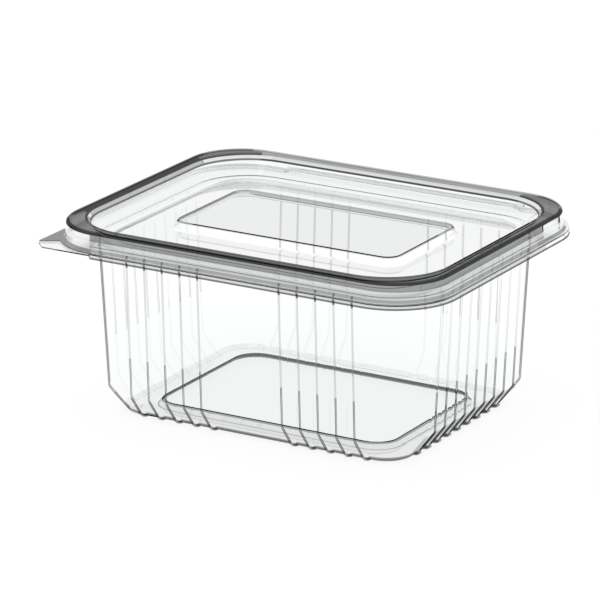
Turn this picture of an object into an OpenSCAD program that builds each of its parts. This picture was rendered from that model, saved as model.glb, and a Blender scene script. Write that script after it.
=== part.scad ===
// Clear hinged-lid salad container, formed from one thin plastic sheet.
// The tray stands on z = 0, X runs along its length, the lid opens from the front (-Y)
// and turns about the fold at the back (+Y). The lid is drawn closed.

/* [Sheet] */
// Thickness of the formed sheet
sheet = 0.5; // [0.35:0.05:0.7]
// Radius of the bends, on the middle of the sheet
bend_r = 1.2; // [0.8:0.1:1.6]

/* [Flange] */
// Length of the flange round the mouth, left to right
flange_l = 177; // [160:1:200]
// Width of the flange, front to back
flange_w = 143; // [130:1:170]
// Corner radius of the flange's edge
flange_r = 27; // [22:1:32]
// Height of the tray, up to the top of its flange
tray_h = 72.5; // [50:0.5:95]
// How far the flange's lip turns down
lip_drop = 1.8; // [1.5:0.1:4]

/* [Tray wall] */
// Flange's edge to the wall, measured inwards
mouth_in = 13; // [11.5:0.5:15]
// Corner radius of the wall, under the flange
mouth_r = 22; // [19:1:26]
// Slope of the wall from upright, in degrees
wall_draft = 3; // [2:0.2:5]
// Height of the bevel round the bottom
bevel_h = 10; // [7:0.5:14]
// How far the bevel leans in
bevel_in = 7.7; // [4:0.1:9]

/* [Tray floor] */
// Width of the foot ring that the tray stands on
foot_ring = 10.5; // [8:0.5:14]
// How far the floor panel is pushed up inside the ring
floor_rise = 2.5; // [1.5:0.1:5]
// Corner radius of the floor panel
floor_r = 10; // [7:1:14]

/* [Wall ribs] */
// Outside radius of a rib
rib_r = 1.4; // [1.1:0.1:1.8]
// Distance from rib to rib
rib_pitch = 8.2; // [6:0.2:9]
// Ribs in each group on the long walls
long_ribs = 5; // [2:1:5]
// Middle of the long wall to the middle of a group
long_group_at = 35; // [28:1:38]
// Ribs on each short wall
short_ribs = 9; // [3:1:9]
// Top of the ribs, below the top of the flange
rib_top_drop = 3.2; // [2.6:0.2:10]
// How far the top of a rib has sunk into the wall
rib_fade = 0.7; // [0.3:0.1:0.9]
// How much the rib's radius swells on the bevel
rib_swell = 0.15; // [0.05:0.05:0.4]

/* [Lid rim] */
// Height of the lid's ridge above the top of the tray's flange
ridge_h = 8.5; // [5:0.5:12]
// Gap between the tray's flange and the lid's
seat_gap = 0.2; // [0.1:0.05:0.4]
// Tray flange's edge to the lid's edge
lid_edge_in = 0.4; // [0:0.1:0.8]
// Flange's edge to the foot of the ridge
ridge_in = 2.7; // [2.4:0.1:4]
// How far the ridge's outside leans in
ridge_lean = 0.7; // [0:0.1:1.5]
// Width of the ridge's flat top on the sides
ridge_top_w = 4.8; // [4:0.1:6]

/* [Lid plug and panel] */
// Gap between the lid's plug and the tray's wall
plug_gap = 0.35; // [0.25:0.05:0.6]
// Depth of the plug below the tray's flange
plug_drop = 2.8; // [2:0.1:6]
// Width of the channel's floor behind the plug
channel_w = 3; // [2.6:0.1:6]
// Rise of the lid's panel above the channel
panel_rise = 3; // [1.5:0.1:4]
// How far the channel's inner side and the platform's sides lean
panel_lean = 1.6; // [0.8:0.1:3]
// Rise of the raised platform above the panel
platform_rise = 3.5; // [1.5:0.1:4]
// Floor panel's end to the platform's end, for stacking
nest_gap_l = 3.2; // [2.4:0.1:12]
// Floor panel's side to the platform's side, for stacking
nest_gap_w = 10.5; // [3:0.5:12]
// Corner radius of the platform
platform_r = 6; // [4:0.5:10]

/* [Tabs] */
// Corner cut off the tray's tab
tray_tab_cut = 4.5; // [3:0.5:8]
// Front edge of the flange to the tip of the lid's tab
lid_tab_back = 5; // [3:0.5:9]
// Slope of the lid tab's front edge, in degrees
lid_tab_angle = 30; // [20:1:40]

/* [Hinge] */
// Length of the fold along the back
hinge_l = 112; // [60:1:118]
// Flange's back edge to the fold's axis
hinge_reach = 2.6; // [2:0.1:5]
// Gap between the fold and the lid's flange, which turns round it
fold_gap = 0.15; // [0.1:0.05:0.4]

/* [Hidden] */
$fn = 72;
bend_steps = 3;
clear_color = [0.86, 0.91, 0.93, 0.55];
fold_color = [0.74, 0.81, 0.84, 0.7];
// Straight run kept beside a bend
bend_run = 2 * bend_r;
// Overshoot of a cutting shape
cut = 5;

// Mid heights of the sheet at the flanges, the ridge, the channel and the panels
tray_flange_z = tray_h - sheet / 2;
lid_flange_z = tray_h + seat_gap + sheet / 2;
ridge_z = tray_h + ridge_h - sheet / 2;
channel_z = tray_h - plug_drop + sheet / 2;
panel_z = channel_z + panel_rise;
platform_z = panel_z + platform_rise;
foot_z = sheet / 2;
floor_z = foot_z + floor_rise;

// Corner centres of the flange and of the wall
flange_c = [flange_l / 2 - flange_r, flange_w / 2 - flange_r];
mouth_c = [flange_l / 2 - mouth_in - mouth_r, flange_w / 2 - mouth_in - mouth_r];

// Wall and bevel in section: distance from the corner centre, height
wall_in = (tray_flange_z - bevel_h) * tan(wall_draft);
wall_top = [mouth_r, tray_flange_z];
wall_foot = [mouth_r - wall_in, bevel_h];
bevel_foot = [wall_foot.x - bevel_in, foot_z];

// Floor panel, inside the foot ring
floor_half = mouth_c + [1, 1] * (bevel_foot.x - foot_ring);
floor_c = floor_half - [1, 1] * floor_r;

// Lid's inner wall in section, about the same corner centres as the tray's wall
ridge_outer_in = ridge_in + ridge_lean;
ridge_inner_r = mouth_in + mouth_r - ridge_outer_in - ridge_top_w;
plug_r = mouth_r - sheet - plug_gap;
plug_foot_r = plug_r - (lid_flange_z - channel_z) * tan(wall_draft);
panel_edge_r = plug_foot_r - channel_w - panel_lean;

// Raised platform, sized to nest in the floor panel of the next container
platform_half = floor_half - [nest_gap_l, nest_gap_w];
platform_c = platform_half - [1, 1] * platform_r;

// Fold's axis (distance behind the centre, height) and its outside radius
fold_axis = [flange_w / 2 + hinge_reach, tray_h + seat_gap / 2];
fold_r = sheet + seat_gap / 2;

// Rib's axis in section: sunk into the wall at its top, on the sheet's middle below
rib_top_z = tray_h - rib_top_drop;
rib_start = [mouth_r - (tray_flange_z - rib_top_z) * tan(wall_draft) - rib_fade, rib_top_z];
rib_reach = 4 * rib_r;

function unit(v) = v / norm(v);
function left_of(v) = [-v.y, v.x];
function flip(list) = [for (i = [len(list) - 1:-1:0]) list[i]];

// Points of the arc that rounds corner b of the path a, b, c
function bend(a, b, c, r) =
    let (
        u = unit(a - b),
        v = unit(c - b),
        half = acos(u * v) / 2,
        centre = b + unit(u + v) * r / sin(half),
        from = b + u * r / tan(half) - centre,
        to = b + v * r / tan(half) - centre,
        start = atan2(from.y, from.x),
        swing = atan2(from.x * to.y - from.y * to.x, from * to)
    )
    [for (i = [0:bend_steps]) centre + r * [cos(start + swing * i / bend_steps),
                                            sin(start + swing * i / bend_steps)]];

// Open path with every inner corner rounded
function rounded(path, r) = [
    path[0],
    for (i = [1:len(path) - 2]) each bend(path[i - 1], path[i], path[i + 1], r),
    path[len(path) - 1]
];

// Path shifted sideways by d, with mitred corners
function beside(path, d) =
    let (
        last = len(path) - 1,
        side = [for (i = [0:last - 1]) left_of(unit(path[i + 1] - path[i]))]
    )
    [for (i = [0:last])
        let (
            before = side[max(i - 1, 0)],
            after = side[min(i, last - 1)]
        )
        path[i] + d * (before + after) / (1 + before * after)];

// Section of the sheet along a path of its middle, with rounded bends
module sheet_section(path) {
    middle = rounded(path, bend_r);
    polygon(concat(beside(middle, sheet / 2), flip(beside(middle, -sheet / 2))));
}

// Sweeps a section round a rectangle with rounded corners centred at +-c
module sweep(c) {
    for (turn = [0:3]) {
        at = turn % 2 == 0 ? c : [c.y, c.x];
        rotate(90 * turn) translate(at) {
            rotate_extrude(angle = 90) children();
            rotate([90, 0, 0]) linear_extrude(2 * at.y) children();
        }
    }
}

// Flat plate with rounded corners of radius r centred at +-c
module plate(c, r, low, thick = sheet) {
    sweep(c) translate([0, low]) square([r, thick]);
    translate([-c.x, -c.y, low]) cube([2 * c.x, 2 * c.y, thick]);
}

// Step between two flat levels: outer edge, low corner, high corner, inner edge
module step_wall(c, r, lean, low, high) {
    sweep(c) sheet_section([[r + lean + bend_run, low], [r + lean, low], [r, high], [r - bend_run, high]]);
}

// Round bar between two points of a section, made longer at both ends
module bar(a, b, r, longer) {
    along = b - a;
    translate([a.x, 0, a.y]) rotate([0, atan2(along.x, along.y), 0]) translate([0, 0, -longer])
        cylinder(r = r, h = norm(along) + 2 * longer);
}

// Block that keeps what lies outside a stretch of the section
module outside(a, b, out_a, out_b) {
    rotate([90, 0, 0]) linear_extrude(2 * rib_reach, center = true)
        polygon([a, b, b + out_b * rib_reach, a + out_a * rib_reach]);
}

// Half-round rib down the wall and round the bevel, mitred where they meet
module rib_outside() {
    wall_out = left_of(unit(wall_foot - wall_top));
    bevel_out = left_of(unit(bevel_foot - wall_foot));
    corner_out = unit(wall_out + bevel_out);
    rib_end = wall_foot + (bevel_foot - wall_foot) * bevel_h / (bevel_h - foot_z);
    intersection() {
        bar(rib_start, wall_foot, rib_r, rib_r);
        outside([rib_start.x + rib_fade, rib_top_z], wall_foot, wall_out, corner_out);
    }
    intersection() {
        bar(wall_foot, bevel_foot, rib_r + rib_swell, rib_reach);
        outside(wall_foot, rib_end, corner_out, [1, 0]);
    }
}

// Hollow of the same rib, one sheet inside it
module rib_inside() {
    r = rib_r - sheet;
    translate([0, 0, sheet]) intersection() {
        union() {
            bar(rib_start - [0, sheet], wall_foot - [0, sheet], r, sheet / 2);
            bar(wall_foot - [0, sheet], bevel_foot - [0, sheet], r + rib_swell, sheet / 2);
        }
        translate([0, -rib_reach, 0]) cube([mouth_r + rib_reach, 2 * rib_reach, tray_h]);
    }
}

// Places ribs on all four walls: one row on the short walls, two groups on the long ones
module on_walls() {
    for (turn = [0, 180]) {
        rotate(turn) translate([mouth_c.x, 0])
            for (i = [0:short_ribs - 1]) translate([0, (i - (short_ribs - 1) / 2) * rib_pitch]) children();
        rotate(turn + 90) translate([mouth_c.y, 0])
            for (group = [-1, 1], i = [0:long_ribs - 1])
                translate([0, group * long_group_at + (i - (long_ribs - 1) / 2) * rib_pitch]) children();
    }
}

// Front left corner of the flange, kept square as a pull tab
module tray_tab_outline() {
    corner = [-flange_l, -flange_w] / 2;
    polygon(rounded([
        corner + [0, flange_r],
        corner + [0, tray_tab_cut],
        corner + [tray_tab_cut, 0],
        corner + [flange_r, 0],
        corner + [flange_r, flange_r]
    ], bend_r));
}

// Lid's tab: a point beside the tray's tab, cut back so that the two part easily
module lid_tab_outline() {
    side = -flange_l / 2;
    tip = [side, -flange_w / 2 + lid_tab_back];
    polygon(rounded([
        [side, -flange_c.y],
        tip,
        tip + flange_r * [cos(lid_tab_angle), sin(lid_tab_angle)],
        [-flange_c.x, -flange_c.y]
    ], bend_r));
}

// Strip of flange that reaches back to the fold
module hinge_leaf(middle_z, end) {
    root = flange_w / 2 - ridge_in;
    translate([-hinge_l / 2, root, middle_z - sheet / 2]) cube([hinge_l, end - root, sheet]);
}

// Flange round the mouth, with its turned-down lip, pull tab and hinge leaf
module tray_flange() {
    lip_top = tray_h - sheet;
    lip_path = [
        [flange_r - ridge_in, tray_flange_z],
        [flange_r - 1.5 * sheet, tray_flange_z],
        [flange_r - sheet / 2, tray_h - lip_drop]
    ];
    difference() {
        union() {
            plate(flange_c, flange_r - ridge_in, lip_top);
            translate([0, 0, lip_top]) linear_extrude(sheet) tray_tab_outline();
        }
        plate(mouth_c, mouth_r + bend_run, lip_top - cut, 2 * cut);
    }
    difference() {
        sweep(flange_c) sheet_section(lip_path);
        translate([-flange_l / 2 - cut, -flange_w / 2 - cut, lip_top - lip_drop - cut])
            cube([flange_r + cut, flange_r + cut, lip_drop + cut]);
        translate([-hinge_l / 2, flange_w / 2 - cut, lip_top - lip_drop - cut])
            cube([hinge_l, 2 * cut, lip_drop + cut]);
    }
    hinge_leaf(tray_flange_z, fold_axis.x);
}

// Tray: fluted wall, bevel, foot ring and pushed-up floor
module tray() color(clear_color) {
    floor_low_r = floor_r + panel_lean;
    difference() {
        union() {
            sweep(mouth_c) sheet_section([
                wall_top + [bend_run, 0],
                wall_top,
                wall_foot,
                bevel_foot,
                bevel_foot - [bend_run, 0]
            ]);
            on_walls() rib_outside();
        }
        on_walls() rib_inside();
    }
    tray_flange();
    difference() {
        plate(mouth_c, bevel_foot.x - bend_run, 0);
        plate(floor_c, floor_low_r + bend_run, -cut, 2 * cut);
    }
    step_wall(floor_c, floor_r, panel_lean, foot_z, floor_z);
    plate(floor_c, floor_r - bend_run, floor_z - sheet / 2);
}

// Lid: flange, ridge, plug channel, panel and raised platform
module lid() color(clear_color) {
    ridge_foot_r = flange_r - ridge_in;
    ridge_top_r = ridge_foot_r - ridge_lean;
    panel_low = panel_z - sheet / 2;
    ridge_low = ridge_z - sheet / 2;
    platform_low_r = platform_r + panel_lean;
    sweep(flange_c) sheet_section([
        [flange_r - lid_edge_in, lid_flange_z],
        [ridge_foot_r, lid_flange_z],
        [ridge_top_r, ridge_z],
        [ridge_top_r - bend_run, ridge_z]
    ]);
    difference() {
        plate(flange_c, ridge_top_r - bend_run, ridge_low);
        plate(mouth_c, ridge_inner_r + bend_run, ridge_low - cut, 2 * cut);
    }
    sweep(mouth_c) sheet_section([
        [ridge_inner_r + bend_run, ridge_z],
        [ridge_inner_r, ridge_z],
        [plug_r, lid_flange_z],
        [plug_foot_r, channel_z],
        [plug_foot_r - channel_w, channel_z],
        [panel_edge_r, panel_z],
        [panel_edge_r - bend_run, panel_z]
    ]);
    difference() {
        plate(mouth_c, panel_edge_r - bend_run, panel_low);
        plate(platform_c, platform_low_r + bend_run, panel_low - cut, 2 * cut);
    }
    step_wall(platform_c, platform_r, panel_lean, panel_z, platform_z);
    plate(platform_c, platform_r - bend_run, platform_z - sheet / 2);
    difference() {
        translate([0, 0, lid_flange_z - sheet / 2]) linear_extrude(sheet) lid_tab_outline();
        plate(flange_c, ridge_foot_r + bend_run / 2, lid_flange_z - cut, 2 * cut);
    }
    hinge_leaf(lid_flange_z, fold_axis.x - fold_r - fold_gap);
}

// Fold that joins the two flanges: a half-round strip of the sheet about the hinge axis
module hinge_fold() color(fold_color)
    translate([hinge_l / 2, fold_axis.x, fold_axis.y]) rotate([90, 0, -90]) linear_extrude(hinge_l)
        difference() {
            circle(fold_r);
            circle(fold_r - sheet);
            translate([0, -fold_r]) square([fold_r, 2 * fold_r]);
        }

tray();
lid();
hinge_fold();
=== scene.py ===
"""Clear hinged-lid salad container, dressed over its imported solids."""

import logging
import math
from abc import ABC, abstractmethod
from dataclasses import dataclass, field
from enum import Enum

import bmesh
import bpy
import numpy as np
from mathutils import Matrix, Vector


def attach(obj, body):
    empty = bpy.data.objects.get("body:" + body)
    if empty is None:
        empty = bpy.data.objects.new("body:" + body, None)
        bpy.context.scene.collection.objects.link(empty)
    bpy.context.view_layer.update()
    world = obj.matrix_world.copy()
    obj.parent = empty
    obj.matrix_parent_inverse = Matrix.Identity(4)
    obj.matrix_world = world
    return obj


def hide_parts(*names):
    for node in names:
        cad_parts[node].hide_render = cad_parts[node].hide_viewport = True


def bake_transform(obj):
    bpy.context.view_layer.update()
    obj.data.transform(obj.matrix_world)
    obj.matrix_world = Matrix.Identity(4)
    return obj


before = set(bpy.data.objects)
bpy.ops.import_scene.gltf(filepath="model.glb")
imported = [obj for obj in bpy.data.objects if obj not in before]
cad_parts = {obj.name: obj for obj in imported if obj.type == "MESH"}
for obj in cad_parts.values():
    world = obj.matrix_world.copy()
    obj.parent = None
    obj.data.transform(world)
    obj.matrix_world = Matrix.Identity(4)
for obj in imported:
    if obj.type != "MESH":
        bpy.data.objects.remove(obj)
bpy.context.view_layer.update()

LOG = logging.getLogger("salad_container")
MM = 0.001
Pair = tuple[float, float]

# Refractive index of the stretches with painted shade, low enough to add no reflection to their tone
FLAT = 1.005
# Share of red in the sheet's levels, clear and painted shade alike, which are faintly cool
COOL = 0.995
# Layer Weight's blend at which Facing runs evenly from face on to edge on
EVEN_BLEND = 0.5
# Where the painted shade on the ribs' flanks sets in, from 0 face on to 1 edge on
RIB_RIM = (0.1, 0.22)

# Radius of the sheet's bends on its middle, in millimetres, and of the tighter ones
BEND_RADIUS = 1.2
TIGHT_RADIUS = 0.6
# Fewest steps of a bend, and the angle that gets a step of its own
BEND_STEPS = 3
BEND_ANGLE = math.radians(16)
# Edges that fold by more than this stay sharp
SHARP_ANGLE = math.radians(50)

# Outward directions of the sides from the front counter-clockwise, and the corner after each
OUTWARD = ((0, -1), (1, 0), (0, 1), (-1, 0))
CORNERS = ((1, -1), (1, 1), (-1, 1), (-1, -1))
BACK_SIDE = 2
LEFT_SIDE = 3
QUARTER = 90.0
# Decimal places at which two columns count as one
PLACES = 5
# Smallest amount that is divided by
TINY = 1e-9

# Where the painted shade and painted highlight of the sides change round the container
# A direction with x under this many times its y belongs to the far sides
FAR_SLOPE = 2.0
# A far direction with both parts past this is a corner
CORNER_PART = 0.3
# From this share of its half on, the back end of the right side is bright, with the ridge's painted highlight
BRIGHT_SHARE = 0.7
# A near direction whose x less its y is under this is bright, with the ridge's painted highlight
BRIGHT_TURN = 0.9


@dataclass(frozen=True)
class ClearPlastic:
    """Tint of one stretch of the clear sheet: its own clear level, or a painted shade.

    Attributes:
        name: Name of the material.
        tint_or_painted_shade: Light that one sheet lets through: the clear sheet's own level, or a lower one
            as painted shade.
        ior: Refractive index.
        roughness: Blur of what is seen through it.
        rim: Painted shade where the sheet is seen edge on, or None for the same all over.
        rim_at: Where the change to the painted edge-on shade starts and ends, from 0 face on to 1 edge on.
    """

    name: str
    tint_or_painted_shade: float
    ior: float = 1.5
    roughness: float = 0.015
    rim: float | None = None
    rim_at: Pair = (0.72, 0.88)

    def material(self) -> bpy.types.Material:
        """Makes the material.

        Returns:
            The node material.
        """
        made = bpy.data.materials.new(self.name)
        made.use_nodes = True
        nodes, links = made.node_tree.nodes, made.node_tree.links
        shader = nodes["Principled BSDF"]
        shader.inputs["Base Color"].default_value = self.colour(self.tint_or_painted_shade)
        shader.inputs["Roughness"].default_value = self.roughness
        shader.inputs["IOR"].default_value = self.ior
        shader.inputs["Transmission Weight"].default_value = 1.0
        # Painted shade: the colour darkens as the sheet turns edge on
        if self.rim is not None:
            angle = nodes.new("ShaderNodeLayerWeight")
            angle.inputs["Blend"].default_value = EVEN_BLEND
            ramp = nodes.new("ShaderNodeValToRGB")
            for stop, place, level in zip(ramp.color_ramp.elements, self.rim_at, (self.tint_or_painted_shade, self.rim)):
                stop.position = place
                stop.color = self.colour(level)
            links.new(angle.outputs["Facing"], ramp.inputs["Fac"])
            links.new(ramp.outputs["Color"], shader.inputs["Base Color"])
        return made

    @staticmethod
    def colour(level: float) -> tuple[float, float, float, float]:
        """Gives a level, clear or painted shade, as the sheet's faintly cool grey."""
        return (level * COOL, level, level, 1.0)


@dataclass(frozen=True)
class Paper:
    """Matt white finish of the floor, lifted to white where it is looked at.

    Attributes:
        name: Name of the finish.
        colour: Grey of the matt part, which takes the shadow.
        lift: Glow that is added where it is seen, also through or in the sheet.
    """

    name: str = "white_floor"
    colour: float = 0.14
    lift: float = 0.885

    def material(self) -> bpy.types.Material:
        """Makes the finish.

        Returns:
            The node material.
        """
        made = bpy.data.materials.new(self.name)
        made.use_nodes = True
        nodes, links = made.node_tree.nodes, made.node_tree.links
        nodes.remove(nodes["Principled BSDF"])
        matt = nodes.new("ShaderNodeBsdfDiffuse")
        matt.inputs["Color"].default_value = (self.colour, self.colour, self.colour, 1.0)
        glow = nodes.new("ShaderNodeEmission")
        path = nodes.new("ShaderNodeLightPath")
        seen = path.outputs["Is Camera Ray"]
        for kind in ("Is Glossy Ray", "Is Transmission Ray"):
            either = nodes.new("ShaderNodeMath")
            either.operation = "MAXIMUM"
            links.new(seen, either.inputs[0])
            links.new(path.outputs[kind], either.inputs[1])
            seen = either.outputs[0]
        level = nodes.new("ShaderNodeMath")
        level.operation = "MULTIPLY"
        level.inputs[1].default_value = self.lift
        links.new(seen, level.inputs[0])
        links.new(level.outputs[0], glow.inputs["Strength"])
        both = nodes.new("ShaderNodeAddShader")
        links.new(matt.outputs[0], both.inputs[0])
        links.new(glow.outputs[0], both.inputs[1])
        links.new(both.outputs[0], nodes["Material Output"].inputs["Surface"])
        return made


class Tone(Enum):
    """Named stretches of the formed sheet, each with its tint: the clear sheet's own, or a painted shade."""

    # CLEAR, WALL, RIB_CLEAR and PLATFORM_SLOPE keep the clear sheet's own level; every darker level is
    # painted shade, put in for the dark lines and grey bands that bent and reflected light makes at the
    # sheet's bends, ridges, ribs, flats and cut edge
    CLEAR = ClearPlastic("clear_slope", 0.995)
    WALL = ClearPlastic("clear_wall", 0.995, ior=1.01, rim=0.02)
    PANEL = ClearPlastic("clear_panel", 0.89)
    EDGE = ClearPlastic("sheet_edge", 0.19, ior=FLAT)
    LIP = ClearPlastic("lip", 0.20, ior=FLAT)
    TAB = ClearPlastic("lid_tab", 0.42, ior=FLAT)
    SOFT_BEND = ClearPlastic("soft_bend", 0.9)
    BEND = ClearPlastic("bend", 0.43, ior=FLAT)
    FOLD = ClearPlastic("ridge_foot", 0.43, ior=FLAT)
    CREASE = ClearPlastic("ridge_crease", 0.20, ior=FLAT)
    STEP = ClearPlastic("soft_step", 0.8)
    HALF = ClearPlastic("half_shade", 0.53, ior=FLAT)
    # Ridge: a painted dark line at each bend and painted grey on its top and sides
    RIDGE = ClearPlastic("ridge_bend", 0.06, ior=FLAT)
    RIDGE_FAR = ClearPlastic("ridge_far_bend", 0.38, ior=FLAT)
    RIDGE_INNER = ClearPlastic("ridge_inner_bend", 0.09, ior=FLAT)
    RIDGE_SIDE = ClearPlastic("ridge_side", 0.7)
    RIDGE_LINE = ClearPlastic("ridge_line", 0.33, ior=FLAT)
    RIDGE_TOP = ClearPlastic("ridge_top", 0.26, ior=FLAT)
    RIDGE_SHADE = ClearPlastic("ridge_shade", 0.39, ior=FLAT)
    RIDGE_GAP = ClearPlastic("ridge_gap", 0.8)
    # Ribs: clear on one flank, painted shade on the other, lighter on the far sides
    RIB_CLEAR = ClearPlastic("clear_rib", 0.995, ior=FLAT)
    RIB_FAR = ClearPlastic("rib_far", 0.45, ior=FLAT)
    RIB_DIM = ClearPlastic("rib_dim", 0.88, ior=FLAT)
    RIB_FAINT = ClearPlastic("rib_faint", 0.58, ior=FLAT)
    RIB = ClearPlastic("rib_side", 0.55, ior=FLAT, rim=0.07, rim_at=RIB_RIM)
    RIB_END = ClearPlastic("rib_end", 0.5, ior=FLAT, rim=0.05, rim_at=RIB_RIM)
    # Foot, floor and platform: painted shade on their bends and a painted grey on their flats
    FOOT = ClearPlastic("foot", 0.24, ior=FLAT)
    FOOT_RING = ClearPlastic("foot_ring", 0.84)
    FLOOR = ClearPlastic("clear_floor", 0.94, ior=1.1)
    FLOOR_STEP = ClearPlastic("floor_step", 0.8)
    FLOOR_EDGE = ClearPlastic("floor_edge", 0.38, ior=FLAT)
    FLOOR_LINE = ClearPlastic("floor_line", 0.07, ior=FLAT)
    PLATFORM = ClearPlastic("clear_platform", 0.82, ior=1.2)
    PLATFORM_LINE = ClearPlastic("platform_line", 0.53, ior=FLAT)
    PLATFORM_RIM = ClearPlastic("platform_rim", 0.98)
    PLATFORM_SLOPE = ClearPlastic("platform_slope", 0.995)


Cuts = tuple[tuple[float, Tone | None], ...]


class Side(Enum):
    """Where a stretch of the sheet stands, which sets the painted shade and painted highlight put in for how
    the light meets it.
    """

    NEAR = 0
    BRIGHT = 1
    TURN = 2
    LEFT = 3
    BACK = 4

    @classmethod
    def at(cls, anchor: Pair, way: Pair) -> "Side":
        """Finds the side of one column.

        Args:
            anchor: Share of the corner centre in x and y.
            way: Outward direction.

        Returns:
            The front and right sides as NEAR, the corners between them and the others as BRIGHT, the
            corners of the back as TURN, and the other two sides.
        """
        if way[0] < FAR_SLOPE * way[1]:
            if min(abs(way[0]), abs(way[1])) > CORNER_PART:
                return cls.TURN
            return cls.BACK if way[1] > CORNER_PART else cls.LEFT
        right_end = way[0] == 1 and anchor[1] > BRIGHT_SHARE
        return cls.BRIGHT if right_end or way[0] - way[1] < BRIGHT_TURN else cls.NEAR


# Painted shade of the near sides and what it becomes on the far ones, painted there for the light that comes
# through the other way
FAR_TONES: dict[Tone, Tone] = {
    Tone.LIP: Tone.STEP,
    Tone.FOLD: Tone.STEP,
    Tone.RIDGE: Tone.RIDGE_FAR,
    Tone.RIDGE_SIDE: Tone.CLEAR,
    Tone.RIDGE_LINE: Tone.SOFT_BEND,
    Tone.RIDGE_SHADE: Tone.STEP,
    Tone.RIB_FAINT: Tone.RIB_FAR,
    Tone.RIB: Tone.RIB_DIM,
    Tone.RIB_END: Tone.RIB_DIM,
    Tone.FOOT: Tone.SOFT_BEND,
    Tone.FOOT_RING: Tone.FLOOR,
    Tone.FLOOR_STEP: Tone.FLOOR_LINE,
    Tone.FLOOR_EDGE: Tone.FLOOR_LINE,
    Tone.PLATFORM_LINE: Tone.CREASE,
    Tone.PLATFORM_RIM: Tone.BEND,
    Tone.PLATFORM_SLOPE: Tone.STEP,
}

# The painted shade and painted highlight swapped in on each side; a tone that isn't listed stays as it is
SIDE_TONES: dict[Side, dict[Tone, Tone]] = {
    Side.NEAR: {},
    # Painted highlight: the ridge's outer wall is left clear of its painted shade where it faces the light
    Side.BRIGHT: {
        Tone.RIDGE_SIDE: Tone.CLEAR,
        Tone.RIDGE_LINE: Tone.SOFT_BEND,
        Tone.RIDGE_SHADE: Tone.CLEAR,
    },
    Side.TURN: FAR_TONES,
    Side.LEFT: FAR_TONES
    | {
        Tone.RIDGE_TOP: Tone.RIDGE_INNER,
        Tone.RIDGE_GAP: Tone.HALF,
        Tone.PLATFORM_RIM: Tone.CREASE,
    },
    Side.BACK: FAR_TONES
    | {
        Tone.RIDGE: Tone.HALF,
        Tone.RIDGE_TOP: Tone.HALF,
        Tone.RIDGE_INNER: Tone.BEND,
        Tone.RIDGE_GAP: Tone.STEP,
        Tone.CREASE: Tone.RIDGE_INNER,
        Tone.PLATFORM_SLOPE: Tone.HALF,
    },
}


class TintAndShadeBook:
    """Makes each material, clear or painted shade, once and hands it out."""

    def __init__(self) -> None:
        """Starts with no material made."""
        self._made: dict[Tone, bpy.types.Material] = {}

    def get(self, tone: Tone) -> bpy.types.Material:
        """Gives the material of one tone.

        Args:
            tone: The stretch of sheet.

        Returns:
            The material, made on first use.
        """
        if tone not in self._made:
            self._made[tone] = tone.value.material()
        return self._made[tone]


@dataclass(frozen=True)
class Knot:
    """Corner of a section.

    Attributes:
        r: Distance from the corner centre, in millimetres.
        z: Height.
        tone: Tint of the bend: clear, or a painted shade.
        after: Tint of the straight run after this corner: clear, or a painted shade.
        bend: Radius of the bend on the sheet's middle.
        cuts: Heights of extra rings on that run, each with its tint or painted shade, or None for the same.
    """

    r: float
    z: float
    tone: Tone = Tone.SOFT_BEND
    after: Tone = Tone.WALL
    bend: float = BEND_RADIUS
    cuts: Cuts = ()


@dataclass
class Ring:
    """One line of the sheet's middle round the container.

    Attributes:
        centre: Corner centre, in millimetres.
        r: Distance from the corner centre.
        z: Height.
        tone: Tint of the strip up to the next ring: clear, or a painted shade.
        out: Direction of the sheet's underside or outside in the section.
        swell: Height of the ribs on this ring.
        stretch: Share of the way from the flange's foot to its edge, or None off the flange.
        side: Painted shade of the ribs' dark flanks on this strip, or None where there are none.
    """

    centre: Pair
    r: float
    z: float
    tone: Tone
    out: Pair
    swell: float = 0.0
    stretch: float | None = None
    side: Tone | None = None


@dataclass
class Section:
    """Section of the sheet about one set of corner centres, from the outside inwards."""

    centre: Pair
    knots: list[Knot]

    def rings(self) -> list[Ring]:
        """Rounds the corners.

        Returns:
            The rings along the section, each with its direction.
        """
        points: list[tuple[float, float, Tone]] = []
        last = len(self.knots) - 1
        for i, knot in enumerate(self.knots):
            if 0 < i < last:
                points += self._bend(i)
            else:
                points.append((knot.r, knot.z, knot.after))
            for height, tone in knot.cuts:
                after = self.knots[i + 1]
                share = (height - knot.z) / (after.z - knot.z)
                points.append((knot.r + (after.r - knot.r) * share, height, tone or points[-1][2]))
        spots = np.array([point[:2] for point in points])
        along = np.gradient(spots, axis=0)
        along /= np.linalg.norm(along, axis=1)[:, None]
        return [Ring(self.centre, r, z, tone, (-t[1], t[0])) for (r, z, tone), t in zip(points, along)]

    def _bend(self, i: int) -> list[tuple[float, float, Tone]]:
        """Rounds one corner.

        Args:
            i: Number of the corner.

        Returns:
            The arc's points, with the corner's tint on all but the last.
        """
        before, knot, after = self.knots[i - 1 : i + 2]
        a, b, c = (np.array([k.r, k.z]) for k in (before, knot, after))
        u, v = (a - b) / np.linalg.norm(a - b), (c - b) / np.linalg.norm(c - b)
        half = math.acos(float(np.clip(u @ v, -1, 1))) / 2
        middle = b + (u + v) / np.linalg.norm(u + v) * knot.bend / math.sin(half)
        first = b + u * knot.bend / math.tan(half) - middle
        final = b + v * knot.bend / math.tan(half) - middle
        start = math.atan2(first[1], first[0])
        swing = math.atan2(first[0] * final[1] - first[1] * final[0], float(first @ final))
        steps = max(BEND_STEPS, math.ceil(abs(swing) / BEND_ANGLE))
        arc = []
        for n in range(steps + 1):
            turn = start + swing * n / steps
            spot = middle + knot.bend * np.array([math.cos(turn), math.sin(turn)])
            arc.append((spot[0], spot[1], knot.tone if n < steps else knot.after))
        return arc


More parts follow.
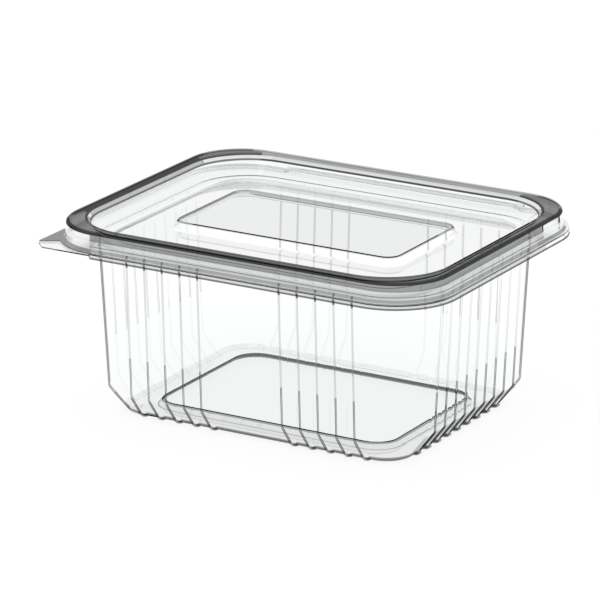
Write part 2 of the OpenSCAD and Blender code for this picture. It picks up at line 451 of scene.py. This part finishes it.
@dataclass(frozen=True)
class Ribs:
    """Half-round ribs of the tray's walls, in millimetres."""

    radius: float = 1.45
    # Half the width that a rib takes up, and its least height there as a share of the whole
    foot: float = 1.9
    foot_height: float = 0.06
    pitch: float = 8.2
    # Ribs in each of the two groups on a long wall, and how far the groups are from its middle
    long_count: int = 5
    long_at: float = 35.0
    short_count: int = 9
    steps: int = 8
    # Rise in one step that gets a flank of painted shade on a long wall; fall that does on a short one, and
    # its end
    long_rise: float = 0.2
    short_fall: float = 0.25
    short_foot: float = 0.1

    def places(self, long_side: bool) -> list[float]:
        """Gives the middles of the ribs on one wall.

        Args:
            long_side: True for a long wall, with two groups.

        Returns:
            Places along the wall.
        """
        groups = (-self.long_at, self.long_at) if long_side else (0.0,)
        count = self.long_count if long_side else self.short_count
        half = (count - 1) / 2
        return [group + (n - half) * self.pitch for group in groups for n in range(count)]

    def profile(self) -> list[Pair]:
        """Gives the rib's rounded outline as place and height.

        Returns:
            Offsets from the rib's middle with heights from 0 to 1.
        """
        turns = [math.pi * (n / self.steps - 0.5) for n in range(self.steps + 1)]
        bump = [(self.radius * math.sin(t), max(math.cos(t), self.foot_height)) for t in turns]
        return [(-self.foot, 0.0), *bump, (self.foot, 0.0)]

    def dark(self, here: float, after: float, long_side: bool) -> bool:
        """Tells whether a step is the flank that gets painted shade, as the one that folds most sharply and
        looks darkest.

        Args:
            here: Height of the rib before the step, from 0 to 1.
            after: Height after it.
            long_side: True on a long wall.

        Returns:
            True on the rising flank of a long wall's rib, and at the far foot of a short wall's.
        """
        if long_side:
            return after - here > self.long_rise
        return here - after > self.short_fall and after < self.short_foot


@dataclass
class Way:
    """Columns round the container, shared by every ring of a piece.

    Attributes:
        tab_tone: Tint of the tab, a painted shade.
        anchors: Share of the corner centre in x and y.
        ways: Outward direction.
        ribs: Height of a rib, from 0 to 1.
        edges: Reach of a tab or leaf from the corner centre's line, or 0.
        tabs: True on the tab.
        sides: Side that the column stands on.
        lines: True where the step to the next column is a rib's flank with painted shade.
    """

    tab_tone: Tone
    anchors: list[Pair] = field(default_factory=list)
    ways: list[Pair] = field(default_factory=list)
    ribs: list[float] = field(default_factory=list)
    edges: list[float] = field(default_factory=list)
    tabs: list[bool] = field(default_factory=list)
    sides: list[Side] = field(default_factory=list)
    lines: list[bool] = field(default_factory=list)

    def add(self, anchor: Pair, way: Pair, rib: float, edge: float) -> None:
        """Adds a column.

        Args:
            anchor: Share of the corner centre in x and y.
            way: Outward direction.
            rib: Height of a rib here, from 0 to 1.
            edge: Reach of a tab or leaf from the corner centre's line, or 0.
        """
        self.anchors.append(anchor)
        self.ways.append(way)
        self.ribs.append(rib)
        self.edges.append(edge)
        self.tabs.append(edge > 0 and abs(anchor[0]) == abs(anchor[1]) == 1)
        self.sides.append(Side.at(anchor, way))

    def mark_lines(self, layout: Ribs) -> None:
        """Marks the flank of each rib that gets painted shade.

        Args:
            layout: The ribs.
        """
        after = self.ribs[1:] + self.ribs[:1]
        for here, following, way in zip(self.ribs, after, self.ways):
            self.lines.append(layout.dark(here, following, way[0] == 0))


@dataclass
class Rim:
    """Sizes that the tray, the lid and the fold share, in millimetres."""

    sheet: float = 0.5
    # Flange round the mouth
    length: float = 177.0
    width: float = 143.0
    corner: float = 27.0
    tray_top: float = 72.5
    # Wall: in from the flange's edge, corner radius, and lean for each millimetre of height
    mouth_in: float = 13.0
    mouth_corner: float = 22.0
    draft: float = math.tan(math.radians(3.0))
    # Flange's edge to the foot of the lid's ridge, and the gap between the two flanges
    ridge_in: float = 2.7
    seat_gap: float = 0.2
    # Length of the fold, and behind the centre its axis and the end of the flanges' leaves
    hinge: float = 112.0
    fold_back: float = 74.1
    leaf_end: float = 73.35

    @property
    def flange_centre(self) -> Pair:
        """Corner centre of the flange."""
        return (self.length / 2 - self.corner, self.width / 2 - self.corner)

    @property
    def mouth_centre(self) -> Pair:
        """Corner centre of the wall."""
        inset = self.mouth_in + self.mouth_corner
        return (self.length / 2 - inset, self.width / 2 - inset)

    @property
    def tray_flange_z(self) -> float:
        """Middle of the tray's flange."""
        return self.tray_top - self.sheet / 2

    @property
    def lid_flange_z(self) -> float:
        """Middle of the lid's flange."""
        return self.tray_top + self.seat_gap + self.sheet / 2

    @property
    def run(self) -> float:
        """Straight run kept beside a bend."""
        return 2 * BEND_RADIUS

    @property
    def leaf(self) -> float:
        """Reach of the leaves from the flange's corner centre."""
        return self.leaf_end - self.flange_centre[1]

    @property
    def leaf_share(self) -> float:
        """Half the fold's length as a share of the flange's corner centre."""
        return self.hinge / 2 / self.flange_centre[0]


@dataclass(frozen=True)
class EdgeReach(ABC):
    """Outline of a flange where it leaves the plain rounded rectangle, in millimetres.

    Attributes:
        corner: Corner radius of the flange.
        leaf: Reach of the hinge leaf from the corner centre.
        leaf_share: End of the leaf as a share of the corner centre.
        tab_tone: Tint of the tab, a painted shade.
    """

    corner: float
    leaf: float
    leaf_share: float
    tab_tone: Tone

    @abstractmethod
    def tab(self, angle: float) -> float:
        """Gives the tab's reach in the front left corner, or 0 where there is none.

        Args:
            angle: Degrees from the left side towards the front.

        Returns:
            Distance from the corner centre.
        """

    @abstractmethod
    def tab_angles(self) -> list[float]:
        """Gives the angles of the extra columns at the tab's corners."""


@dataclass(frozen=True)
class TrayEdge(EdgeReach):
    """Tray's square tab with its corner cut off.

    Attributes:
        cut: How much of the corner is cut off along each side.
        margin: Degrees at both ends that stay on the rounded rectangle.
        start: Degrees to the first extra column.
        spread: Degrees between the extra columns at a corner.
    """

    cut: float = 4.5
    margin: float = 0.5
    start: float = 1.0
    spread: float = 1.5

    def tab(self, angle: float) -> float:
        """Gives the square tab's reach.

        Args:
            angle: Degrees from the left side towards the front.

        Returns:
            Distance from the corner centre.
        """
        if not self.margin < angle < QUARTER - self.margin:
            return 0.0
        u, v = math.cos(math.radians(angle)), math.sin(math.radians(angle))
        return min(self.corner / u, self.corner / v, (2 * self.corner - self.cut) / (u + v))

    def tab_angles(self) -> list[float]:
        """Gives the angles of the extra columns at the tab's corners.

        Returns:
            Degrees from the left side, the same from both sides.
        """
        side = math.degrees(math.atan2(self.corner - self.cut, self.corner))
        half = [self.start, side - self.spread, side, side + self.spread]
        return half + [QUARTER - angle for angle in half]


@dataclass(frozen=True)
class LidEdge(EdgeReach):
    """Lid's pointed tab, with its front edge slanting back.

    Attributes:
        back: Front edge of the flange to the tab's tip.
        slant: Slope of the tab's front edge, in degrees.
        edge_in: Tray flange's edge to the lid's.
        steps: Degrees from the tip to the extra columns.
    """

    back: float = 5.0
    slant: float = 30.0
    edge_in: float = 0.4
    steps: tuple[float, ...] = (-1.0, 0.0, 0.5, 1.0, 1.6, 2.2, 2.8)

    def tab(self, angle: float) -> float:
        """Gives the pointed tab's reach.

        Args:
            angle: Degrees from the left side towards the front.

        Returns:
            Distance from the corner centre.
        """
        u, v = math.cos(math.radians(angle)), math.sin(math.radians(angle))
        tip = self.corner - self.back
        run, rise = math.cos(math.radians(self.slant)), math.sin(math.radians(self.slant))
        across = rise * u - run * v
        front = (rise * self.corner - run * tip) / across if across < -TINY else math.inf
        return max(self.corner - self.edge_in, min(self.corner / max(u, TINY), front))

    def tab_angles(self) -> list[float]:
        """Gives the angles of the extra columns at the tab's tip."""
        tip = math.degrees(math.atan2(self.corner - self.back, self.corner))
        return [tip + step for step in self.steps]


@dataclass
class Shell:
    """Thin sheet swept round the container as a closed mesh.

    Attributes:
        rim: Shared sizes.
        book: Materials of the clear tints and painted shades.
        ribs: The tray's ribs.
        turns: Steps round a corner.
        side_steps: Steps along half a plain side.
        leaf_step: Share of the side over which the hinge leaf ends.
    """

    rim: Rim
    book: TintAndShadeBook
    ribs: Ribs = Ribs()
    turns: int = 20
    side_steps: int = 4
    leaf_step: float = 0.001

    def sweep(self, name: str, rings: list[Ring], way: Way) -> bpy.types.Object:
        """Makes both faces of the sheet, its edge and its flat middle.

        Args:
            name: Name of the piece.
            rings: Rings from the outer edge inwards.
            way: Columns round the container.

        Returns:
            The piece, in the row frame.
        """
        middle = self._middle(rings, way)
        offset = self._normals(middle) * self.rim.sheet / 2
        spots = np.concatenate([middle + offset, middle - offset]).reshape(-1, 3) * MM
        count, around = middle.shape[:2]
        inner = count * around
        steps = [(k, (k + 1) % around) for k in range(around)]
        faces: list[list[int]] = []
        tones: list[Tone] = []
        for i, ring in enumerate(rings[:-1]):
            here, after = i * around, (i + 1) * around
            for k, k2 in steps:
                a, b, c, d = here + k, after + k, after + k2, here + k2
                faces += [[a, b, c, d], [inner + d, inner + c, inner + b, inner + a]]
                tones += [self._tone(ring, way, k, k2)] * 2
        faces += [[k, k2, inner + k2, inner + k] for k, k2 in steps]
        tones += [Tone.EDGE] * around
        final = (count - 1) * around
        faces.append([final + k for k in range(around)])
        faces.append([inner + final + k for k in reversed(range(around))])
        tones += [rings[-1].tone] * 2
        return self.mesh(name, spots, faces, tones)

    def mesh(
        self, name: str, spots: np.ndarray, faces: list[list[int]], tones: list[Tone]
    ) -> bpy.types.Object:
        """Turns points and faces into a smooth closed piece.

        Args:
            name: Name of the piece.
            spots: Points in metres.
            faces: Corners of each face.
            tones: Finish of each face.

        Returns:
            The piece.
        """
        data = bpy.data.meshes.new(name)
        data.from_pydata(spots.tolist(), [], faces)
        order = {tone: n for n, tone in enumerate(Tone)}
        for tone in order:
            data.materials.append(self.book.get(tone))
        data.polygons.foreach_set("material_index", [order[tone] for tone in tones])
        work = bmesh.new()
        work.from_mesh(data)
        bmesh.ops.recalc_face_normals(work, faces=work.faces)
        work.to_mesh(data)
        work.free()
        data.shade_smooth()
        data.set_sharp_from_angle(angle=SHARP_ANGLE)
        data.update()
        piece = bpy.data.objects.new(name, data)
        bpy.context.scene.collection.objects.link(piece)
        return piece

    def way(self, ribbed: bool, edge: EdgeReach) -> Way:
        """Lays out the columns round the container.

        Args:
            ribbed: True for the tray, whose walls carry ribs.
            edge: Reach of the tab and the hinge leaf.

        Returns:
            The columns, counter-clockwise seen from above.
        """
        made = Way(edge.tab_tone)
        for side, (out, corner) in enumerate(zip(OUTWARD, CORNERS)):
            stops = self._stops(side, ribbed, edge)
            for share, rib in stops if side < BACK_SIDE else reversed(stops):
                anchor = (share, out[1]) if out[0] == 0 else (out[0], share)
                on_leaf = side == BACK_SIDE and abs(share) <= edge.leaf_share
                made.add(anchor, out, rib, edge.leaf if on_leaf else 0.0)
            angles = {QUARTER * n / self.turns for n in range(self.turns + 1)}
            if side == LEFT_SIDE:
                angles |= set(edge.tab_angles())
            for angle in sorted(angles):
                turn = math.radians(QUARTER * (side - 1) + angle)
                reach = edge.tab(angle) if side == LEFT_SIDE else 0.0
                made.add(corner, (math.cos(turn), math.sin(turn)), 0.0, reach)
        made.mark_lines(self.ribs)
        return made

    def _stops(self, side: int, ribbed: bool, edge: EdgeReach) -> list[Pair]:
        """Lists the columns of one straight side.

        Args:
            side: Number of the side, from the front.
            ribbed: True where the side carries ribs.
            edge: Reach of the tab and the hinge leaf.

        Returns:
            Place as a share of the side's half, and height of the rib there.
        """
        stops = {n / self.side_steps: 0.0 for n in range(1 - self.side_steps, self.side_steps)}
        if ribbed:
            centre = self.rim.mouth_centre[side % 2]
            for middle in self.ribs.places(side % 2 == 0):
                low, high = (middle - self.ribs.foot) / centre, (middle + self.ribs.foot) / centre
                stops = {share: height for share, height in stops.items() if not low <= share <= high}
                for offset, height in self.ribs.profile():
                    stops[round((middle + offset) / centre, PLACES)] = height
        if side == BACK_SIDE:
            for share in (edge.leaf_share, edge.leaf_share + self.leaf_step):
                stops[round(share, PLACES)] = stops[round(-share, PLACES)] = 0.0
        return sorted(stops.items())

    @staticmethod
    def _tone(ring: Ring, way: Way, k: int, k2: int) -> Tone:
        """Chooses the tint or painted shade of one face.

        Args:
            ring: Ring that the face starts from.
            way: Columns round the container.
            k: Number of the face's first column.
            k2: Number of the next column.

        Returns:
            The tab's tint, or the ring's or rib's as it is painted on that side.
        """
        if ring.stretch is not None and way.tabs[k] and way.tabs[k2]:
            return way.tab_tone
        tone = ring.tone
        # Painted shade on a rib's dark flank, clear on its other flank
        if ring.side is not None and max(way.ribs[k], way.ribs[k2]) > 0:
            tone = ring.side if way.lines[k] else Tone.RIB_CLEAR
        # Swaps in the painted shade or painted highlight of the column's side
        return SIDE_TONES[way.sides[k]].get(tone, tone)

    def _middle(self, rings: list[Ring], way: Way) -> np.ndarray:
        """Places the middle of the sheet.

        Args:
            rings: Rings from the outer edge inwards.
            way: Columns round the container.

        Returns:
            Points, ring by ring, in millimetres.
        """
        anchors, ways = np.array(way.anchors, float), np.array(way.ways, float)
        ribs, edges = np.array(way.ribs), np.array(way.edges)
        foot = self.rim.corner - self.rim.ridge_in
        flange_z = [ring.z for ring in rings if ring.stretch is not None][-1]
        rows = []
        for ring in rings:
            r = ring.r + ring.swell * ribs * ring.out[0]
            z = np.maximum(ring.z + ring.swell * ribs * ring.out[1], self.rim.sheet / 2)
            if ring.stretch is not None:
                r = np.where(edges > 0, foot + ring.stretch * (edges - foot), r)
                z = np.where(edges > 0, flange_z, z)
            flat = anchors * np.array(ring.centre) + ways * r[:, None]
            rows.append(np.column_stack([flat, z]))
        return np.array(rows)

    @staticmethod
    def _normals(middle: np.ndarray) -> np.ndarray:
        """Finds the sheet's outside direction at each point.

        Args:
            middle: Points, ring by ring.

        Returns:
            Unit vectors of the same shape.
        """
        inward = np.gradient(middle, axis=0)
        around = np.roll(middle, -1, axis=1) - np.roll(middle, 1, axis=1)
        normal = np.cross(inward, around)
        size = np.linalg.norm(normal, axis=2, keepdims=True)
        return normal / np.maximum(size, TINY)


@dataclass
class Tray:
    """Tray with its flange, fluted wall, bevel and pushed-up floor, in millimetres."""

    shell: Shell
    # How far the lip turns down, and the height of the painted dark line along its edge
    lip_drop: float = 1.8
    lip_line: float = 0.7
    # Bevel round the bottom, with heights of extra rings on it
    bevel_height: float = 10.0
    bevel_in: float = 7.7
    bevel_cuts: Cuts = ((6.5, None), (3.5, None), (1.9, Tone.FOOT))
    foot_ring: float = 10.5
    floor_rise: float = 2.5
    floor_corner: float = 10.0
    lean: float = 1.6
    tab_cut: float = 4.5
    # Top of the ribs below the flange's, and depths of extra rings below that
    rib_top_drop: float = 3.2
    rib_cuts: tuple[float, ...] = (-0.4, 0.0, 0.5, 1.4, 4.0, 20.0, 42.5, 50.0)
    # How far the ribs stand out: by depth below their top, where the bevel starts, and by height below it
    top_swell: tuple[Pair, ...] = ((-0.4, 0.0), (0.0, 0.35), (0.5, 0.6), (1.4, 0.75))
    bevel_swell: float = 1.4
    foot_swell: tuple[Pair, ...] = ((1.4, 1.55), (0.6, 1.4))
    # Flanks get painted shade from this far above the ribs' tops down to this height
    line_over: float = 0.5
    line_foot: float = 1.95
    # Strong painted shade lines below the ribs' tops and up to this above the bevel, and the depth where the
    # faint one ends
    strong_top: float = 3.0
    strong_foot: float = 1.0
    faint_to: float = 42.0

    @property
    def rib_top(self) -> float:
        """Height of the ribs' tops."""
        return self.shell.rim.tray_top - self.rib_top_drop

    @property
    def wall_foot(self) -> float:
        """Distance of the wall's foot from the corner centre."""
        rim = self.shell.rim
        return rim.mouth_corner - (rim.tray_flange_z - self.bevel_height) * rim.draft

    @property
    def bevel_foot(self) -> float:
        """Distance of the bevel's foot from the corner centre."""
        return self.wall_foot - self.bevel_in

    def build(self) -> bpy.types.Object:
        """Makes the tray and lets it stand for its solid.

        Returns:
            The dressed piece.
        """
        rim = self.shell.rim
        edge = TrayEdge(rim.corner, rim.leaf, rim.leaf_share, Tone.PANEL, self.tab_cut)
        rings = self._lip() + self._wall() + self._floor()
        piece = self.shell.sweep("tray_sheet", rings, self.shell.way(True, edge))
        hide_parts("tray")
        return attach(piece, "tray")

    def _lip(self) -> list[Ring]:
        """Lists the rings from the lip's edge to the middle of the flange.

        Returns:
            The rings, which stretch out to the tab and the hinge leaf.
        """
        rim = self.shell.rim
        low, top = rim.tray_top - self.lip_drop, rim.tray_flange_z
        edge_r = rim.corner - rim.sheet / 2
        line = ((low + self.lip_line, Tone.RIDGE_SIDE),)
        rings = Section(
            rim.flange_centre,
            [
                Knot(edge_r, low, after=Tone.LIP, cuts=line),
                Knot(edge_r - rim.sheet, top, Tone.RIDGE_SIDE, Tone.PANEL, TIGHT_RADIUS),
                Knot(rim.corner - rim.ridge_in, top, after=Tone.PANEL),
            ],
        ).rings()
        for n, ring in enumerate(rings):
            ring.stretch = 1 - n / (len(rings) - 1)
        return rings

    def _wall(self) -> list[Ring]:
        """Lists the rings from the mouth down to the foot ring.

        Returns:
            The rings, with the ribs' heights and the finish of their flanks.
        """
        rim = self.shell.rim
        top, foot = rim.tray_flange_z, rim.sheet / 2
        cuts = tuple((self.rib_top - drop, None) for drop in self.rib_cuts)
        rings = Section(
            rim.mouth_centre,
            [
                Knot(rim.mouth_corner + rim.run, top, after=Tone.PANEL),
                Knot(rim.mouth_corner, top, cuts=cuts),
                Knot(self.wall_foot, self.bevel_height, Tone.WALL, cuts=self.bevel_cuts),
                Knot(self.bevel_foot, foot, Tone.FOOT, Tone.FOOT_RING),
                Knot(self.bevel_foot - rim.run, foot, after=Tone.FOOT_RING),
            ],
        ).rings()
        table = [(drop - self.rib_top, swell) for drop, swell in self.top_swell]
        table.append((-self.bevel_height, self.bevel_swell))
        table += [(-height, swell) for height, swell in self.foot_swell]
        table.append((-foot, 0.0))
        depths, swells = zip(*table)
        for ring in rings:
            ring.swell = float(np.interp(-ring.z, depths, swells))
            ring.side = self._rib_tone(ring.z)
        return rings

    def _floor(self) -> list[Ring]:
        """Lists the rings from the foot ring to the floor panel.

        Returns:
            The rings.
        """
        rim = self.shell.rim
        low, high = rim.sheet / 2, rim.sheet / 2 + self.floor_rise
        inset = self.bevel_foot - self.foot_ring - self.floor_corner
        low_r = self.floor_corner + self.lean
        return Section(
            (rim.mouth_centre[0] + inset, rim.mouth_centre[1] + inset),
            [
                Knot(low_r + rim.run, low, after=Tone.FOOT_RING),
                Knot(low_r, low, Tone.BEND, Tone.FLOOR_STEP, TIGHT_RADIUS),
                Knot(self.floor_corner, high, Tone.FLOOR_EDGE, Tone.FLOOR),
                Knot(self.floor_corner - rim.run, high, after=Tone.FLOOR),
            ],
        ).rings()

    def _rib_tone(self, z: float) -> Tone | None:
        """Names the painted shade of the ribs' dark flanks: strong at both ends and faint between.

        Args:
            z: Height of the strip's upper ring.

        Returns:
            The painted shade, or None off the ribs.
        """
        if z > self.rib_top + self.line_over or z < self.line_foot:
            return None
        if z > self.rib_top - self.strong_top or z < self.bevel_height + self.strong_foot:
            return Tone.RIB_END
        return Tone.RIB if z < self.rib_top - self.faint_to else Tone.RIB_FAINT


@dataclass
class Lid:
    """Lid with its flange, ridge, plug channel, panel and platform, in millimetres."""

    shell: Shell
    top: float = 81.0
    edge_in: float = 0.4
    ridge_lean: float = 0.7
    ridge_top: float = 4.8
    # Lines of painted shade on the ridge's outside and inside, by depth below its middle, with the tint that
    # follows
    ridge_cuts: Cuts = (
        (5.9, Tone.RIDGE_LINE),
        (5.5, Tone.RIDGE_SIDE),
        (3.6, Tone.RIDGE_LINE),
        (2.9, Tone.RIDGE_SHADE),
    )
    inner_cuts: Cuts = ((1.7, Tone.CREASE), (2.4, Tone.CLEAR))
    plug_gap: float = 0.35
    plug_drop: float = 2.8
    channel: float = 3.0
    panel_rise: float = 3.0
    lean: float = 1.6
    platform_rise: float = 3.5
    platform_half: Pair = (50.84, 26.54)
    platform_corner: float = 6.0
    # Lines of painted shade on the platform's sides, by depth below its middle
    platform_cuts: Cuts = ((2.4, Tone.PLATFORM_SLOPE), (1.3, Tone.PLATFORM_RIM))
    tab_back: float = 5.0
    tab_slant: float = 30.0

    @property
    def ridge_z(self) -> float:
        """Middle of the sheet on the ridge."""
        return self.top - self.shell.rim.sheet / 2

    @property
    def channel_z(self) -> float:
        """Middle of the sheet in the channel."""
        return self.shell.rim.tray_top - self.plug_drop + self.shell.rim.sheet / 2

    @property
    def panel_z(self) -> float:
        """Middle of the sheet on the panel."""
        return self.channel_z + self.panel_rise

    def build(self) -> bpy.types.Object:
        """Makes the lid and lets it stand for its solid.

        Returns:
            The dressed piece.
        """
        rim = self.shell.rim
        shape = (self.tab_back, self.tab_slant, self.edge_in)
        edge = LidEdge(rim.corner, rim.leaf, rim.leaf_share, Tone.TAB, *shape)
        rings = self._outer() + self._inner() + self._platform()
        piece = self.shell.sweep("lid_sheet", rings, self.shell.way(False, edge))
        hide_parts("lid")
        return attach(piece, "lid")

    @staticmethod
    def _below(level: float, cuts: Cuts) -> Cuts:
        """Turns depths below a level into heights."""
        return tuple((level - depth, tone) for depth, tone in cuts)

    def _outer(self) -> list[Ring]:
        """Lists the rings from the flange's edge to the top of the ridge.

        Returns:
            The rings, of which the flange's stretch out to the tab and the hinge leaf.
        """
        rim = self.shell.rim
        seat, ridge = rim.lid_flange_z, self.ridge_z
        edge_r, foot_r = rim.corner - self.edge_in, rim.corner - rim.ridge_in
        top_r = foot_r - self.ridge_lean
        lines = self._below(ridge, self.ridge_cuts)
        rings = Section(
            rim.flange_centre,
            [
                Knot(edge_r, seat, after=Tone.PANEL),
                Knot(foot_r, seat, Tone.FOLD, Tone.RIDGE_SIDE, cuts=lines),
                Knot(top_r, ridge, Tone.RIDGE, Tone.RIDGE_TOP),
                Knot(top_r - rim.run, ridge, after=Tone.RIDGE_TOP),
            ],
        ).rings()
        for ring in rings[:2]:
            ring.stretch = (ring.r - foot_r) / (edge_r - foot_r)
        return rings

    def _inner(self) -> list[Ring]:
        """Lists the rings from the top of the ridge through the channel to the panel.

        Returns:
            The rings.
        """
        rim = self.shell.rim
        seat, ridge = rim.lid_flange_z, self.ridge_z
        inner_r = rim.mouth_in + rim.mouth_corner - rim.ridge_in - self.ridge_lean - self.ridge_top
        plug_r = rim.mouth_corner - rim.sheet - self.plug_gap
        plug_foot = plug_r - (seat - self.channel_z) * rim.draft
        panel_r = plug_foot - self.channel - self.lean
        lines = self._below(ridge, self.inner_cuts)
        return Section(
            rim.mouth_centre,
            [
                Knot(inner_r + rim.run, ridge, after=Tone.RIDGE_TOP),
                Knot(inner_r, ridge, Tone.RIDGE_INNER, Tone.RIDGE_GAP, cuts=lines),
                Knot(plug_r, seat, Tone.CLEAR, Tone.CLEAR),
                Knot(plug_foot, self.channel_z, Tone.SOFT_BEND, Tone.PANEL),
                Knot(plug_foot - self.channel, self.channel_z, Tone.SOFT_BEND, Tone.CLEAR),
                Knot(panel_r, self.panel_z, Tone.SOFT_BEND, Tone.PANEL),
                Knot(panel_r - rim.run, self.panel_z, after=Tone.PANEL),
            ],
        ).rings()

    def _platform(self) -> list[Ring]:
        """Lists the rings from the panel to the platform.

        Returns:
            The rings.
        """
        run, corner = self.shell.rim.run, self.platform_corner
        low, high = self.panel_z, self.panel_z + self.platform_rise
        low_r = corner + self.lean
        lines = self._below(high, self.platform_cuts)
        return Section(
            (self.platform_half[0] - corner, self.platform_half[1] - corner),
            [
                Knot(low_r + run, low, after=Tone.PANEL),
                Knot(low_r, low, Tone.CLEAR, Tone.CLEAR, cuts=lines),
                Knot(corner, high, Tone.PLATFORM_LINE, Tone.PLATFORM, TIGHT_RADIUS),
                Knot(corner - run, high, after=Tone.PLATFORM),
            ],
        ).rings()


@dataclass
class HingeFold:
    """Strip of the sheet that bends between the tray's leaf and the lid's."""

    shell: Shell
    arc_steps: int = 12
    long_steps: int = 16

    def build(self) -> bpy.types.Object:
        """Makes the strip and lets it stand for its solid.

        Returns:
            The dressed piece.
        """
        rim = self.shell.rim
        loop = self._loop()
        count = len(loop)
        points, faces = [], []
        for n in range(self.long_steps + 1):
            x = rim.hinge * (n / self.long_steps - 0.5)
            points += [(x, y, z) for y, z in loop]
        for n in range(self.long_steps):
            here, after = n * count, (n + 1) * count
            for k in range(count):
                k2 = (k + 1) % count
                faces.append([here + k, here + k2, after + k2, after + k])
        for end in (0, self.long_steps * count):
            last = end + count - 1
            faces += [[end + k, end + k + 1, last - k - 1, last - k] for k in range(count // 2 - 1)]
        # Painted shade: the whole fold is a soft grey
        tones = [Tone.STEP] * len(faces)
        piece = self.shell.mesh("hinge_strip", np.array(points) * MM, faces, tones)
        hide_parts("hinge_fold")
        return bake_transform(piece)

    def _loop(self) -> np.ndarray:
        """Draws the outline of the strip's section.

        Returns:
            Points in y and z, in millimetres: along one face and back along the other.
        """
        rim = self.shell.rim
        low, high = rim.tray_flange_z, rim.lid_flange_z
        axis, radius = (low + high) / 2, (high - low) / 2
        between = (rim.leaf_end + rim.fold_back) / 2
        line = [(rim.leaf_end, low), (between, low)]
        for n in range(self.arc_steps + 1):
            turn = math.pi * (n / self.arc_steps - 0.5)
            line.append((rim.fold_back + radius * math.cos(turn), axis + radius * math.sin(turn)))
        line += [(between, high), (rim.leaf_end, high)]
        spots = np.array(line)
        along = np.gradient(spots, axis=0)
        along /= np.linalg.norm(along, axis=1)[:, None]
        side = np.column_stack([-along[:, 1], along[:, 0]]) * rim.sheet / 2
        return np.concatenate([spots + side, (spots - side)[::-1]])


@dataclass
class Studio:
    """White floor, even light and camera, in metres and degrees."""

    floor_half: float = 9.0
    floor_drop: float = 0.0004
    # Light of the dome, and the heights up to which and from which it has it
    horizon: float = 1.0
    horizon_to: float = 0.3
    zenith: float = 0.85
    zenith_from: float = 0.75
    lamp_size: float = 1.6
    lamp_power: float = 6.0
    lamp_place: tuple[float, float, float] = (-0.3, -0.4, 1.9)
    lamp_aim: tuple[float, float, float] = (0.0, 0.0, 0.04)
    # Camera's place round the target, its lens and sensor in millimetres, and its reach
    azimuth: float = 30.12
    elevation: float = 16.87
    distance: float = 1.8428
    lens: float = 276.0
    sensor: float = 36.0
    clip_end: float = 60.0
    target_height: float = 0.08
    # Shift of the aim from the target
    aim_right: float = -0.00605
    aim_up: float = -0.03427
    # Most bounces of a path, those before a dark path may be dropped, and most reflections
    bounces: int = 32
    sure_bounces: int = 16
    glossy_bounces: int = 12

    def build(self) -> None:
        """Makes the floor, the light and the camera."""
        self._floor()
        self._sky()
        self._lamp()
        self._camera()
        scene = bpy.context.scene
        scene.view_settings.view_transform = "Standard"
        scene.cycles.max_bounces = self.bounces
        scene.cycles.min_light_bounces = self.sure_bounces
        scene.cycles.transmission_bounces = self.bounces
        scene.cycles.glossy_bounces = self.glossy_bounces
        scene.cycles.transparent_max_bounces = self.bounces

    @staticmethod
    def _turn_to(thing: bpy.types.Object, aim: Vector) -> None:
        """Turns a lamp or camera to face a point."""
        thing.rotation_euler = (aim - thing.location).to_track_quat("-Z", "Y").to_euler()

    def _floor(self) -> None:
        """Lays the white floor just under the foot."""
        h, z = self.floor_half, -self.floor_drop
        data = bpy.data.meshes.new("floor")
        data.from_pydata([(-h, -h, z), (h, -h, z), (h, h, z), (-h, h, z)], [], [[0, 1, 2, 3]])
        data.materials.append(Paper().material())
        floor = bpy.data.objects.new("floor", data)
        bpy.context.scene.collection.objects.link(floor)

    def _sky(self) -> None:
        """Makes a dome that is white at the horizon and grey overhead."""
        world = bpy.data.worlds.new("dome")
        bpy.context.scene.world = world
        world.use_nodes = True
        nodes, links = world.node_tree.nodes, world.node_tree.links
        place = nodes.new("ShaderNodeTexCoord")
        split = nodes.new("ShaderNodeSeparateXYZ")
        ramp = nodes.new("ShaderNodeValToRGB")
        low, high = ramp.color_ramp.elements
        low.position, high.position = self.horizon_to, self.zenith_from
        low.color = (self.horizon, self.horizon, self.horizon, 1.0)
        high.color = (self.zenith, self.zenith, self.zenith, 1.0)
        links.new(place.outputs["Generated"], split.inputs[0])
        links.new(split.outputs["Z"], ramp.inputs["Fac"])
        links.new(ramp.outputs["Color"], nodes["Background"].inputs["Color"])

    def _lamp(self) -> None:
        """Hangs one wide soft lamp overhead."""
        data = bpy.data.lights.new("soft_lamp", "AREA")
        data.size = self.lamp_size
        data.energy = self.lamp_power
        lamp = bpy.data.objects.new("soft_lamp", data)
        lamp.location = self.lamp_place
        self._turn_to(lamp, Vector(self.lamp_aim))
        bpy.context.scene.collection.objects.link(lamp)

    def _camera(self) -> None:
        """Sets the camera where the photograph was taken from."""
        a, e = math.radians(self.azimuth), math.radians(self.elevation)
        ahead = Vector((-math.sin(a) * math.cos(e), math.cos(a) * math.cos(e), -math.sin(e)))
        right = ahead.cross(Vector((0, 0, 1))).normalized()
        up = right.cross(ahead)
        target = Vector((0, 0, self.target_height))
        data = bpy.data.cameras.new("camera")
        data.lens = self.lens
        data.sensor_width = self.sensor
        data.clip_end = self.clip_end
        camera = bpy.data.objects.new("camera", data)
        camera.location = target - ahead * self.distance
        self._turn_to(camera, target + right * self.aim_right + up * self.aim_up)
        bpy.context.scene.collection.objects.link(camera)
        bpy.context.scene.camera = camera


def main() -> None:
    """Builds the container piece by piece, then its floor, light and camera."""
    logging.basicConfig(level=logging.INFO, format="%(message)s")
    shell = Shell(Rim(), TintAndShadeBook())
    for part in (Tray(shell), Lid(shell), HingeFold(shell)):
        piece = part.build()
        LOG.info("%s: %d faces", piece.name, len(piece.data.polygons))
    Studio().build()


if __name__ == "__main__":
    main()
